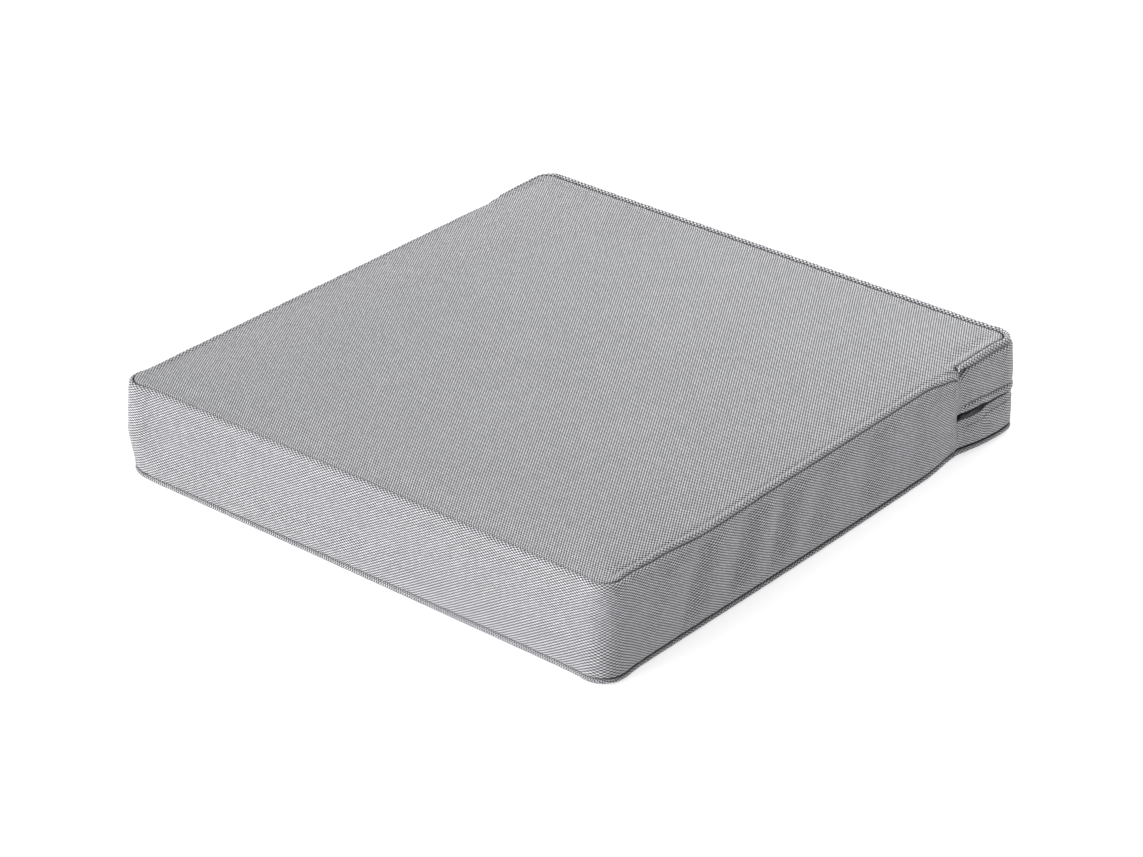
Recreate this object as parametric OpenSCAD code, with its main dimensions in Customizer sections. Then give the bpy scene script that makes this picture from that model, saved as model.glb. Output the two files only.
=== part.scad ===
/* [Cushion] */
// Width across the cushion, left to right
cushion_w = 600; // [420:10:800]
// Depth of the cushion, front to zipped rear
cushion_d = 620; // [480:10:900]
// Height of the edge, from the resting face to the rim of the top panel
edge_h = 98; // [84:1:140]
// How far the middle of the top swells above its rim
crown_h = 6; // [2:0.2:10]
// Plan radius of the four corners
corner_r = 30; // [28:1:50]

/* [Cover] */
// Thickness of the woven cover cloth
cloth_t = 1.0; // [0.8:0.1:1.2]
// How far each panel is turned over the edge before its seam
turn_h = 7; // [6:0.5:10]
// Radius of the rounded edge where a panel turns
edge_r = 4; // [2.5:0.5:5]
// How much further out the zipped rear band stands than the front band
rear_step = 0.8; // [0.4:0.1:1]
// Distance from the rear edge to the seam that joins the two bands
rear_wrap = 96; // [85:1:140]
// Stitch row's distance above the flap's lip
flap_stitch = 8; // [6:1:10]

/* [Zip] */
// Height of the zip's centre line above the resting face
zip_z = 44; // [40:1:56]
// Diameter of the coil that makes each row of teeth
coil_d = 2.2; // [2:0.1:2.3]
// Width of one tape, from the chain to its outer edge
tape_w = 16; // [14:1:18]
// Length of the slider along the zip
slider_l = 13; // [12:1:15]
// Width of the slider across the zip
slider_w = 9; // [8.8:0.1:9.6]
// Distance from the band join to the nose of the closed slider
slider_gap = 3; // [3:1:12]
// Reach of the pull tab from its hinge
pull_l = 28; // [22:1:32]
// Radius of the hole in the end of the pull tab
pull_hole_r = 1.5; // [1:0.1:1.6]

/* [Hidden] */
$fn = 64;
a = cushion_w / 2 - corner_r;
b = cushion_d / 2 - corner_r;
slit = 0.1;
run = 0.3;

// Seam levels: each panel turns over its edge and its allowance runs back inwards
top_turn_z = edge_h - turn_h;
low_turn_z = turn_h - cloth_t;
allowance_u = corner_r - 15;
seam_u = corner_r - 8;
band_top_z = top_turn_z - slit;
band_low_z = turn_h + slit;
thread_r = 0.25;

// Bands: outer faces measured out from the corner centres
band_u = corner_r - rear_step;
rear_u = corner_r;
fold_u = rear_u - 2 * cloth_t - slit;
join_y = cushion_d / 2 - rear_wrap;
foam_u = corner_r - 10;
overlock_t = 0.4;
overlock_w = 5;
foam_low_z = band_low_z + cloth_t + overlock_t + 0.2;
foam_top_z = band_top_z - cloth_t - overlock_t - 0.2;
wadding_u = allowance_u - 0.5;

// Zip stack, from the inside out
slider_back_u = foam_u + 0.9;
plate_t = 1.2;
tape_u = slider_back_u + plate_t + run;
tape_t = 0.6;
coil_u = tape_u + tape_t + coil_d / 2;
slider_front_u = coil_u + coil_d / 2 + run;
plate_top_u = slider_front_u + plate_t;
chain_gap = 1.6;
lip_z = zip_z + 3.2;
fold_low_z = zip_z - 3.6;
fold_w = 14;
zip_y = join_y + 2.5;
slider_y = join_y + slider_gap;
bridge_t = 2.4;
bridge_h = 3.2;
bridge_l = 9.2;
pull_t = 1.4;
pull_w = 5.6;
pull_y = slider_l / 2 + 0.5;
pull_u = plate_top_u + 0.45 + pull_t / 2;
crown_r = min(a, b) + 10;
crown_steps = 14;
crown_lip = 0.05;

// Rounded plan outline that stands u out from the corner centres
module plan(u) {
    square([2 * (a + u), 2 * b], center = true);
    square([2 * a, 2 * (b + u)], center = true);
    for (x = [-a, a], y = [-b, b]) {
        translate([x, y]) circle(u);
    }
}

module slab(u, z0, z1) {
    translate([0, 0, z0]) linear_extrude(z1 - z0) plan(u);
}

// Sweeps a section, x out from the corner centre and y up, along one straight side
module side_run(x, y, turn, length) {
    translate([x, y, 0]) rotate([0, 0, turn]) rotate([90, 0, 0]) linear_extrude(length) children();
}

module corner_run(x, y, turn) {
    translate([x, y, 0]) rotate([0, 0, turn]) rotate_extrude(angle = 90) children();
}

// The same section on the right and left sides, from y0 to y1
module side_pair(y0, y1) {
    side_run(a, y1, 0, y1 - y0) children();
    side_run(-a, y0, 180, y1 - y0) children();
}

module full_run() {
    side_pair(-b, b) children();
    side_run(-a, b, 90, 2 * a) children();
    side_run(a, -b, 270, 2 * a) children();
    corner_run(a, b, 0) children();
    corner_run(-a, b, 90) children();
    corner_run(-a, -b, 180) children();
    corner_run(a, -b, 270) children();
}

module front_run(y_end) {
    side_pair(-b, y_end) children();
    side_run(a, -b, 270, 2 * a) children();
    corner_run(-a, -b, 180) children();
    corner_run(a, -b, 270) children();
}

module rear_run(y_start) {
    side_pair(y_start, b) children();
    side_run(-a, b, 90, 2 * a) children();
    corner_run(a, b, 0) children();
    corner_run(-a, b, 90) children();
}

// Section block from [u0, z0] to [u1, z1]
module block(u0, z0, u1, z1) {
    translate([u0, z0]) square([u1 - u0, z1 - z0]);
}

module dot(u, z, r) {
    translate([u, z]) circle(r, $fn = 24);
}

// Section block whose upper outer corner is rounded
module rounded_block(u0, z0, u1, z1, r) {
    difference() {
        block(u0, z0, u1, z1);
        difference() {
            block(u1 - r, z1 - r, u1 + 1, z1 + 1);
            translate([u1 - r, z1 - r]) circle(r);
        }
    }
}

// Height of the crown at radius r: level at the middle, and a hair proud where it meets the flat rim
function crown(r, radius) = crown_lip + (crown_h - crown_lip) * (1 + cos(180 * r / radius)) / 2;

module crown_solid(z, radius) {
    arc = [for (i = [0 : crown_steps]) [
        radius * i / crown_steps,
        crown(radius * i / crown_steps, radius)
    ]];
    translate([0, 0, z]) rotate_extrude($fn = 96) polygon(concat([[0, -0.4]], arc, [[radius, -0.4]]));
}

module foam_core() {
    color([0.93, 0.89, 0.72]) slab(foam_u, foam_low_z, foam_top_z);
}

module fibre_top() {
    underside = edge_h - cloth_t - slit;
    color([0.96, 0.96, 0.96]) {
        slab(wadding_u, foam_top_z + slit, underside);
        crown_solid(underside, crown_r - 4);
    }
}

module fibre_bottom() {
    color([0.96, 0.96, 0.96]) slab(wadding_u, cloth_t + slit, foam_low_z - slit);
}

// Rim of a panel as seen from above: it rounds the edge, drops to the seam and turns back inwards
module rim_section() {
    difference() {
        rounded_block(allowance_u, -turn_h, corner_r, 0, edge_r);
        rounded_block(allowance_u - 1, cloth_t - turn_h, corner_r - cloth_t, -cloth_t, edge_r - cloth_t);
    }
}

// Crowned middle of the top panel: an even skin whose rim overlaps the flat plate round it
module crown_skin(z, radius) {
    inner = radius - 3;
    over = [for (i = [0 : crown_steps]) [
        radius * i / crown_steps,
        crown(radius * i / crown_steps, radius)
    ]];
    under = [for (i = [crown_steps : -1 : 0]) [
        inner * i / crown_steps,
        crown(inner * i / crown_steps, inner) - cloth_t
    ]];
    translate([0, 0, z]) rotate_extrude($fn = 96) {
        polygon(concat(over, [[radius, -cloth_t]], under));
    }
}

module top_panel() {
    color([0.67, 0.67, 0.69]) {
        difference() {
            slab(allowance_u + 4, edge_h - cloth_t, edge_h);
            translate([0, 0, edge_h - 2 * cloth_t]) {
                cylinder(r = crown_r - 5, h = 4 * cloth_t, $fn = 96);
            }
        }
        crown_skin(edge_h, crown_r);
        full_run() translate([0, edge_h]) rim_section();
    }
}

module bottom_panel() {
    color([0.6, 0.6, 0.62]) {
        slab(allowance_u + 4, 0, cloth_t);
        full_run() mirror([0, 1]) rim_section();
    }
}

// Front and side band, turned in at both edges and at its two upright ends
module front_boxing() {
    color([0.72, 0.72, 0.74]) {
        front_run(join_y - 0.5) {
            union() {
                block(band_u - cloth_t, band_low_z, band_u, band_top_z);
                block(allowance_u, band_top_z - cloth_t, band_u, band_top_z);
                block(allowance_u, band_low_z, band_u, band_low_z + cloth_t);
            }
        }
        side_pair(join_y - 0.5 - cloth_t, join_y - 0.5) {
            block(foam_u + 0.5, band_low_z, band_u, band_top_z);
        }
    }
}

// Upper strip of the rear band: its lower edge is folded up behind it and hides the zip
module zip_boxing_upper() {
    color([0.7, 0.7, 0.72]) {
        rear_run(join_y + 0.5) {
            union() {
                block(rear_u - cloth_t, lip_z, rear_u, band_top_z);
                block(allowance_u, band_top_z - cloth_t, rear_u, band_top_z);
                block(fold_u, lip_z, rear_u, lip_z + cloth_t);
                block(fold_u, lip_z, fold_u + cloth_t, lip_z + fold_w);
            }
        }
        side_pair(join_y + 0.5, join_y + 0.5 + cloth_t) {
            block(foam_u + 0.5, lip_z, rear_u, band_top_z);
        }
    }
}

module zip_boxing_lower() {
    color([0.66, 0.66, 0.68]) {
        rear_run(join_y + 0.5) {
            union() {
                block(rear_u - cloth_t, band_low_z, rear_u, fold_low_z);
                block(allowance_u, band_low_z, rear_u, band_low_z + cloth_t);
                block(fold_u, fold_low_z - cloth_t, rear_u, fold_low_z);
                block(fold_u, fold_low_z - fold_w, fold_u + cloth_t, fold_low_z);
            }
        }
        side_pair(join_y + 0.5, join_y + 0.5 + cloth_t) {
            block(foam_u + 0.5, band_low_z, rear_u, fold_low_z);
        }
    }
}

// Needle and bobbin threads lie on the two outer faces of the seam's layers
module top_seam_thread() {
    color([0.5, 0.5, 0.52]) full_run() {
        union() {
            dot(seam_u, top_turn_z + cloth_t + thread_r, thread_r);
            dot(seam_u, band_top_z - cloth_t - thread_r, thread_r);
        }
    }
}

module bottom_seam_thread() {
    color([0.5, 0.5, 0.52]) full_run() {
        union() {
            dot(seam_u, low_turn_z - thread_r, thread_r);
            dot(seam_u, band_low_z + cloth_t + thread_r, thread_r);
        }
    }
}

// Thread that binds the raw edges of the two layers from z0 to z1
module overlock_section(z0, z1) {
    difference() {
        block(allowance_u - overlock_t, z0 - overlock_t, allowance_u + overlock_w, z1 + overlock_t);
        block(allowance_u, z0, allowance_u + overlock_w + 1, z1);
    }
}

module top_overlock_thread() {
    color([0.55, 0.55, 0.57]) full_run() overlock_section(band_top_z - cloth_t, top_turn_z + cloth_t);
}

module bottom_overlock_thread() {
    color([0.55, 0.55, 0.57]) full_run() overlock_section(low_turn_z, band_low_z + cloth_t);
}

// Upright rows that close the joins between the front band and the zipped rear band
module join_seam_thread() {
    low = band_low_z + cloth_t + 1;
    high = band_top_z - cloth_t - 1;
    color([0.5, 0.5, 0.52]) {
        for (s = [-1, 1], y = [join_y - 1.75, join_y + 1.75]) {
            translate([s * (a + seam_u + 2.5), y, low]) cylinder(h = high - low, r = thread_r, $fn = 24);
        }
    }
}

module stitch_row(z) {
    rear_run(zip_y + 4) {
        union() {
            dot(rear_u + thread_r, z, thread_r);
            dot(fold_u - slit - tape_t - thread_r, z, thread_r);
        }
    }
}

module flap_stitching() {
    color([0.45, 0.45, 0.47]) stitch_row(lip_z + flap_stitch);
}

module lower_zip_stitching() {
    color([0.45, 0.45, 0.47]) stitch_row(fold_low_z - flap_stitch);
}

// Tape from the chain, out to the inner face of its folded strip; s is 1 above and -1 below
module tape_section(s) {
    in = tape_u;
    out = fold_u - slit - tape_t;
    polygon([
        [in, zip_z + s * chain_gap / 2],
        [in + tape_t, zip_z + s * chain_gap / 2],
        [in + tape_t, zip_z + s * 5.5],
        [out + tape_t, zip_z + s * 8.5],
        [out + tape_t, zip_z + s * tape_w],
        [out, zip_z + s * tape_w],
        [out, zip_z + s * 9],
        [in, zip_z + s * 6]
    ]);
}

module zip_tape_upper() {
    color([0.5, 0.5, 0.52]) rear_run(zip_y) tape_section(1);
}

module zip_tape_lower() {
    color([0.5, 0.5, 0.52]) rear_run(zip_y) tape_section(-1);
}

module zip_coil_upper() {
    color([0.42, 0.42, 0.44]) rear_run(zip_y) dot(coil_u, zip_z + chain_gap / 2 + coil_d / 2, coil_d / 2);
}

module zip_coil_lower() {
    color([0.42, 0.42, 0.44]) rear_run(zip_y) dot(coil_u, zip_z - chain_gap / 2 - coil_d / 2, coil_d / 2);
}

// Puts a part at the zip: x out from the corner centre, y along the zip, z across it
module at_zip(y) {
    translate([a, y, zip_z]) children();
}

// Turns a flat y-z outline into a plate from u0 to u1
module plate(u0, u1) {
    translate([u0, 0, 0]) rotate([90, 0, 90]) linear_extrude(u1 - u0) children();
}

module slider_outline() {
    w = slider_w / 2;
    polygon([
        [0, -w + 1.4], [1.4, -w], [slider_l - 1, -w], [slider_l, -w + 1],
        [slider_l, w - 1], [slider_l - 1, w], [1.4, w], [0, w - 1.4]
    ]);
}

module bridge_outline() {
    y0 = pull_y - bridge_l / 2;
    y1 = pull_y + bridge_l / 2;
    difference() {
        polygon([
            [y0, plate_top_u - 0.3], [y1, plate_top_u - 0.3], [y1, plate_top_u + bridge_h - 1.1],
            [y1 - 1.1, plate_top_u + bridge_h], [y0 + 1.1, plate_top_u + bridge_h],
            [y0, plate_top_u + bridge_h - 1.1]
        ]);
        translate([y0 + 1.3, plate_top_u]) square([bridge_l - 2.6, bridge_h - 0.9]);
    }
}

// Back plate, front plate with side flanges, the post between them and the pull's bridge
module zip_slider() {
    w = slider_w / 2;
    color([0.06, 0.06, 0.065]) at_zip(slider_y) {
        plate(slider_back_u, slider_back_u + plate_t) slider_outline();
        plate(slider_front_u, plate_top_u) slider_outline();
        translate([slider_back_u + 0.6, 0.8, -0.5]) {
            cube([slider_front_u - slider_back_u, 3, 1]);
        }
        for (z = [-w, coil_d + chain_gap / 2 + 0.4]) {
            translate([tape_u + tape_t + run, 1.6, z]) {
                cube([slider_front_u - tape_u - tape_t, slider_l - 3, w - coil_d - chain_gap / 2 - 0.4]);
            }
        }
        mirror([0, 0, 1]) translate([0, 0, -bridge_t / 2]) linear_extrude(bridge_t) {
            mirror([1, -1]) bridge_outline();
        }
    }
}

// Tab with a window that rides round the bridge, a hinge bar at its root and a round hole
module zip_pull() {
    w = pull_w / 2;
    bar_w = w - bridge_t / 2 - 0.5;
    end_y = pull_l - w;
    color([0.06, 0.06, 0.065]) at_zip(slider_y + pull_y) translate([pull_u, 0, 0]) {
        translate([0, 0, -w]) cylinder(h = pull_w, r = pull_t / 2);
        for (z = [-w, w - bar_w]) {
            translate([-pull_t / 2, 0, z]) cube([pull_t, 7, bar_w]);
        }
        plate(-pull_t / 2, pull_t / 2) {
            difference() {
                union() {
                    translate([6, -w]) square([end_y - 6, pull_w]);
                    translate([end_y, 0]) circle(w);
                }
                translate([end_y, 0]) circle(pull_hole_r);
            }
        }
    }
}

foam_core();
fibre_top();
fibre_bottom();
top_panel();
bottom_panel();
front_boxing();
zip_boxing_upper();
zip_boxing_lower();
top_seam_thread();
bottom_seam_thread();
top_overlock_thread();
bottom_overlock_thread();
join_seam_thread();
flap_stitching();
lower_zip_stitching();
zip_tape_upper();
zip_tape_lower();
zip_coil_upper();
zip_coil_lower();
zip_slider();
zip_pull();
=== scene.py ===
"""A boxed cushion in a zipped woven cover: its cloth, fill, zip and threads, with light and camera."""
import math

import bpy
import numpy as np
from mathutils import Matrix, Vector

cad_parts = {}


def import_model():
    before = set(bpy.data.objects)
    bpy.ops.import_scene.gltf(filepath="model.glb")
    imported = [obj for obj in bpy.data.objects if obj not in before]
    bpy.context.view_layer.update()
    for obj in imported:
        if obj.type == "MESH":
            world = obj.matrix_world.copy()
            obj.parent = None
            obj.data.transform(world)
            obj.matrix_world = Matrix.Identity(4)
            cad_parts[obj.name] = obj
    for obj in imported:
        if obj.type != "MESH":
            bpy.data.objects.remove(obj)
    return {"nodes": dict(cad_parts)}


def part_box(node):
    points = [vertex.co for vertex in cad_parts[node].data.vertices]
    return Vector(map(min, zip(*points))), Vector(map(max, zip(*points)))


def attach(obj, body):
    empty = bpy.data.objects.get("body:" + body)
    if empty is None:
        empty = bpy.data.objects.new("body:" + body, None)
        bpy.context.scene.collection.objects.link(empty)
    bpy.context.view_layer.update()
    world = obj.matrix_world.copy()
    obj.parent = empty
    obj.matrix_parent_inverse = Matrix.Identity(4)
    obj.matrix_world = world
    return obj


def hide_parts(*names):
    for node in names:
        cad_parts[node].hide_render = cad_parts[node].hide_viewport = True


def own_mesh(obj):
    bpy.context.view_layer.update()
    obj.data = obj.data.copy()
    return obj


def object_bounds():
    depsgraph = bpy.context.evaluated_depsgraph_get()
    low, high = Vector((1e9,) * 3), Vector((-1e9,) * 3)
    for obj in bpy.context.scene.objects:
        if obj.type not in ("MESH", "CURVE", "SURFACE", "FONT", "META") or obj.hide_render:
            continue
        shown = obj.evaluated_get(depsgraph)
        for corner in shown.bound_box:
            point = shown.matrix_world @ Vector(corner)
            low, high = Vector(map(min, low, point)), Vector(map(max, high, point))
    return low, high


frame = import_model()
CAD_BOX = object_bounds()
NODES = frame["nodes"]
MM = 0.001

# ---- sizes, from the frame
HALF_X, HALF_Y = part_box("top_panel")[1].x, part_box("top_panel")[1].y
EDGE_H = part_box("top_panel")[0].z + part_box("bottom_panel")[1].z
CROWN = CAD_BOX[1].z - EDGE_H
JOIN_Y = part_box("zip_boxing_upper")[0].y - 0.5 * MM
FLAP_LIP_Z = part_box("zip_boxing_upper")[0].z
LOWER_FOLD_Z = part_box("zip_boxing_lower")[1].z + 0.4 * MM
SLIDER_LOW, SLIDER_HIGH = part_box("zip_slider")
ZIP_Z = (SLIDER_LOW.z + SLIDER_HIGH.z) / 2

# ---- sizes of the cloth
PLAN_R = 22 * MM  # plan radius of the corners at the top edge
CLOTH_T = 0.9 * MM
TURN_R = 2.0 * MM  # how tightly the cloth turns into a seam
SEAM_GAP, FRONT_GAP = 0.4 * MM, 0.15 * MM  # a seam's half opening, and the tighter one along the front
JOIN_TURN_R, JOIN_GAP = 0.35 * MM, 0.02 * MM  # the same at the upright joins of the bands
ALLOWANCE, PANEL_ALLOWANCE = 8 * MM, 10 * MM
LOW_R = 5 * MM  # radius of the bottom edge
LOW_SEAM_Z, LOW_SEAM_RISE = 6 * MM, 1.6 * MM  # height of the bottom seam, and its rise at the rear
STAND_OUT = 2.2 * MM  # the zipped strips stand further out than the front band
JOIN_HOLD, PULL_NOTCH = 1.2 * MM, 2.4 * MM  # how far a join holds the bands in, and more beside the pull
WEAVE_U, WEAVE_V = 4.6 * MM, 2.75 * MM  # repeat of the basket weave along and across a band

AX, AY = HALF_X - PLAN_R, HALF_Y - PLAN_R
ARC = PLAN_R * math.pi / 2
SIDE, BACK = 2 * AY, 2 * AX
RUNS = np.array([SIDE, ARC, BACK, ARC, SIDE, ARC, BACK, ARC])
STARTS = np.concatenate([[0], np.cumsum(RUNS)])
LOOP = STARTS[-1]
JOIN_R = JOIN_Y + AY
JOIN_L = STARTS[4] + AY - JOIN_Y


def smooth(x):
    x = np.clip(x, 0, 1)
    return x * x * (3 - 2 * x)


def hump(x, width):
    return np.exp(-((x / width) ** 2))


def eased(s, stops):
    """A value that eases from one (s, value) stop to the next."""
    at, value = np.array(stops, float).T
    i = np.clip(np.searchsorted(at, s, side="right") - 1, 0, len(at) - 2)
    t = smooth((s - at[i]) / (at[i + 1] - at[i]))
    return value[i] + (value[i + 1] - value[i]) * t


# Each run's corner centre and the way it moves along the run: sides and arcs in turn, from the right side on
CENTRES = np.array([(1, -1), (1, 1), (1, 1), (-1, 1), (-1, 1), (-1, -1), (-1, -1), (1, -1)]) * (AX, AY)
WAYS = np.array([(0, 1), (0, 0), (-1, 0), (0, 0), (0, -1), (0, 0), (1, 0), (0, 0)])


def outline(s):
    """Corner centre and outward normal at s, the length round the plan from the right side's front end."""
    s = np.mod(s, LOOP)
    run = np.clip(np.searchsorted(STARTS, s, side="right") - 1, 0, 7)
    t = s - STARTS[run]
    angle = run // 2 * math.pi / 2 + np.where(run % 2 == 1, t / PLAN_R, 0)
    centre = CENTRES[run] + WAYS[run] * t[..., None]
    return centre[..., 0], centre[..., 1], np.cos(angle), np.sin(angle)


def rear_share(s):
    """1 along the zipped strips, 0 along the front band."""
    s = np.mod(s, LOOP)
    ease = 7 * MM
    return smooth((s - JOIN_R) / ease + 0.5) - smooth((s - JOIN_L) / ease + 0.5)


# Place of the top seam round the rounded edge, in radians: 0 on the top, 1.57 down on the side
TOP_SEAM = [
    (0, 0.22), (45 * MM, 0.62), (115 * MM, 1.1), (240 * MM, 0.95), (JOIN_R - 50 * MM, 0.85),
    (JOIN_R - 14 * MM, 1.35), (JOIN_R - 2 * MM, 1.8), (JOIN_R + 1.5 * MM, -0.25), (STARTS[1], -0.3),
    (STARTS[3], -0.25), (STARTS[4], 0.5), (JOIN_L - 3 * MM, 0.7), (JOIN_L + 3 * MM, 1.4),
    (JOIN_L + 60 * MM, 1.0), (STARTS[5] - 60 * MM, 0.8), (STARTS[6], 0.2), (STARTS[6] + AX, 0.1), (LOOP, 0.22)
]

FRONT_R, SIDE_R, REAR_R = 7 * MM, 9 * MM, 5.5 * MM  # radii of the top edge
EDGE_RADII = [
    (0, FRONT_R), (120 * MM, SIDE_R), (STARTS[5] - 120 * MM, SIDE_R), (STARTS[5], FRONT_R), (LOOP, FRONT_R)
]


def along_front(s):
    """1 along the front edge, 0 on the other sides."""
    s = np.mod(s, LOOP)
    return smooth((s - STARTS[5] - ARC / 2) / ARC) * smooth((STARTS[7] + ARC - s) / ARC)


def rolled_share(s):
    """1 where the top panel's own edge is rolled: beside the front band on the right, less on the left."""
    s = np.mod(s, LOOP)
    right = smooth((s + ARC) / ARC) * smooth((JOIN_R - s) / (3 * MM))
    left = smooth((s - JOIN_L) / (3 * MM)) * smooth((STARTS[5] - s) / ARC)
    return right + 0.3 * left


def top_gap(s):
    return SEAM_GAP + (FRONT_GAP - SEAM_GAP) * np.maximum(along_front(s), rolled_share(s))


def low_gap(s):
    return SEAM_GAP + 0 * s


def edge_radius(s, rear):
    """Radius of the top edge: tight at the front, wider along the sides, tightest on the zipped strips."""
    plain = eased(np.mod(s, LOOP), EDGE_RADII)
    return plain + (REAR_R - plain) * rear


def top_seam(s, rear):
    return eased(np.mod(s, LOOP), TOP_SEAM) * edge_radius(s, rear)


def q_at(s, z, rear):
    """Place down the section at height z on the flat of the side."""
    r = edge_radius(s, rear)
    return r * math.pi / 2 + EDGE_H - r - z


def low_seam(s, rear):
    """The bottom seam: the underside's cloth turns up this far, a little higher behind the joins."""
    wave = 0.4 * MM * np.sin(np.mod(s, LOOP) / (83 * MM))
    return q_at(s, LOW_SEAM_Z + LOW_SEAM_RISE * rear + wave, rear)


def section_end(r):
    """Place down the section where the underside begins, for a top edge of radius r."""
    return r * math.pi / 2 + EDGE_H - r - LOW_R + LOW_R * math.pi / 2


def section(s, q, rear):
    """Place (out from the corner centre, up) and normal at q, the length down the section from the top."""
    rt = edge_radius(s, rear)
    side = EDGE_H - rt - LOW_R
    a1 = rt * math.pi / 2
    a2 = LOW_R * math.pi / 2
    t1 = np.clip(q / rt, 0, math.pi / 2)
    t2 = np.clip((q - a1 - side) / LOW_R, 0, math.pi / 2)
    u = PLAN_R - rt + np.minimum(q, 0) + rt * np.sin(t1) - LOW_R * (1 - np.cos(t2))
    u = u - np.maximum(q - a1 - side - a2, 0)
    z = EDGE_H - rt * (1 - np.cos(t1)) - np.clip(q - a1, 0, side) - LOW_R * np.sin(t2)
    return u, z, np.sin(t1) * np.cos(t2), np.cos(t1) - np.sin(t2)


# ---- relief of the cover
# Slack folds down the right side: y of the valley at mid height, lean, depth and half width; lengths in mm
FOLDS = [
    (-258, 0.5, 1.0, 10), (-197, 0.42, 3.4, 12), (-130, 0.42, 3.6, 13), (-73, 0.36, 3.2, 12),
    (-16, 0.5, 1.7, 14), (62, 0.25, 2.5, 15), (140, 0.1, 1.2, 13)
]


def folds(s, z):
    """Relief of the slack folds, and a gentle unevenness all round."""
    s = np.mod(s, LOOP)
    fade = smooth((z - 8 * MM) / (22 * MM)) * smooth((94 * MM - z) / (16 * MM))
    total = 0 * s
    for y, lean, depth, width in FOLDS:
        past = (s - AY - lean * (z - EDGE_H / 2)) / MM - y
        total = total + depth * MM * (0.6 * hump(past - 2.3 * width, 1.1 * width) - hump(past, width))
    on_right = smooth(s / (15 * MM)) * smooth((JOIN_R - s) / (15 * MM))
    gentle = 0.35 * MM * np.sin(s / 0.031 + 2.1 * np.sin(s / 0.19)) * np.sin(z / 0.024 + s / 0.12)
    return fade * (total * on_right + gentle)


def from_corner(s, k):
    """Distance along the plan from the middle of a corner."""
    gap = np.abs(np.mod(s, LOOP) - STARTS[k] - ARC / 2)
    return np.minimum(gap, LOOP - gap)


CORNER_W = 19 * MM  # a corner's push reaches this far along the plan
# How far each corner stands out from its arc, in mm: at the top, half way down and at the bottom
CORNERS = {1: (3.5, 6.5, 0.0), 3: (1.5, 3.0, 0.5), 5: (5.0, 10.0, 5.5), 7: (3.0, 1.5, 3.0)}

# How far the filled cover stands out from a square, in mm
LEFT_REAR, LEFT_FRONT = 2.5, 6.0  # on the left side, at its two ends
FRONT_FOOT = 7.0
RIGHT_FOOT, RIGHT_BELLY = 2.0, 3.0  # at the right side's foot, and more in its middle
BEHIND_JOIN, JOIN_PINCH = 5.5, 4.0  # the foot widens towards the rear corner, and the join's seam holds it in
EDGE_PULL = 13 * MM  # the top's cloth follows this far in from its edge


def corner_point(s, z):
    """The stuffing pushes the corners out."""
    top = smooth((z - EDGE_H / 2) / (EDGE_H / 2))
    foot = smooth((EDGE_H / 2 - z) / (EDGE_H / 2))
    total = 0 * s
    for k, (high, middle, low) in CORNERS.items():
        out = middle + (high - middle) * top + (low - middle) * foot
        total = total + out * MM * hump(from_corner(s, k), CORNER_W)
    return total


def slant(s, z):
    """The filled cover isn't square: its left side bulges, and the foot of two sides stands out."""
    s = np.mod(s, LOOP)
    foot = smooth((EDGE_H / 2 - z) / (EDGE_H / 2 - 8 * MM))
    left = smooth((s - STARTS[4] + ARC) / ARC) * smooth((STARTS[5] + ARC - s) / ARC)
    right = smooth((s + ARC) / ARC) * smooth((STARTS[1] + ARC - s) / ARC) + smooth((s - STARTS[7]) / ARC)
    along = np.clip(s / SIDE, 0, 1) * (s < STARTS[4])
    behind = smooth((s - JOIN_R) / (65 * MM)) * (s < STARTS[2])
    pinch = hump(s - JOIN_R + 6 * MM, 26 * MM)
    bulge = LEFT_REAR + (LEFT_FRONT - LEFT_REAR) * smooth((s - STARTS[4]) / SIDE)
    wide = RIGHT_FOOT + RIGHT_BELLY * np.sin(math.pi * along) + BEHIND_JOIN * behind - JOIN_PINCH * pinch
    return MM * (left * bulge * (1 - 0.6 * foot) + foot * (right * wide + FRONT_FOOT * along_front(s)))


def outset(s, q, z):
    """How far the filled cover leaves the plain rounded square."""
    return (corner_point(s, z) + slant(s, z)) * smooth(1 + q / EDGE_PULL)


def from_join(s):
    """Distance along the plan from the nearer join."""
    s = np.mod(s, LOOP)
    return np.minimum(np.abs(s - JOIN_R), np.abs(s - JOIN_L))


def stand_out(s, z, rear):
    """How far the strips stand out: the join holds both bands in, most of all where the pull lies over it."""
    gap = from_join(s)
    held = hump(gap, 14 * MM) * (0.4 + 0.6 * hump(z - ZIP_Z, 20 * MM))
    notch = hump(gap, 13 * MM) * hump(z - ZIP_Z, 10 * MM)
    return STAND_OUT * (1 - hump(gap, 20 * MM)) * rear - JOIN_HOLD * held - PULL_NOTCH * notch


RIDGE_H, RIDGE_AT, RIDGE_W = 1.25 * MM, 3.8 * MM, 2.6 * MM  # the ridge over a seam's allowance
ROLL_W, GROOVE_W = 8.8 * MM, 1.9 * MM  # the groove behind it: distance from the seam, half width
PUCKER_H = 0.16 * MM
TUCK_TOP, TUCK_DROP, TUCK_D = 96 * MM, 12 * MM, 5 * MM  # the pleat's top, length down and depth


def roll(q, seam, side, groove=0.55):
    """The turned edge beside a seam: a ridge over the allowance, with a groove behind it."""
    away = (q - seam) * side
    return RIDGE_H * (hump(away - RIDGE_AT, RIDGE_W) - groove * hump(away - ROLL_W, GROOVE_W))


def puckers(s, q, seam):
    """Small waves that the stitches draw into the cloth beside a seam."""
    wave = np.sin(s / 0.0021 + 1.7 * np.sin(s / 0.013)) + 0.7 * np.sin(s / 0.0047 + 2 * np.sin(s / 0.029))
    return PUCKER_H * hump(q - seam, 9 * MM) * wave


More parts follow.
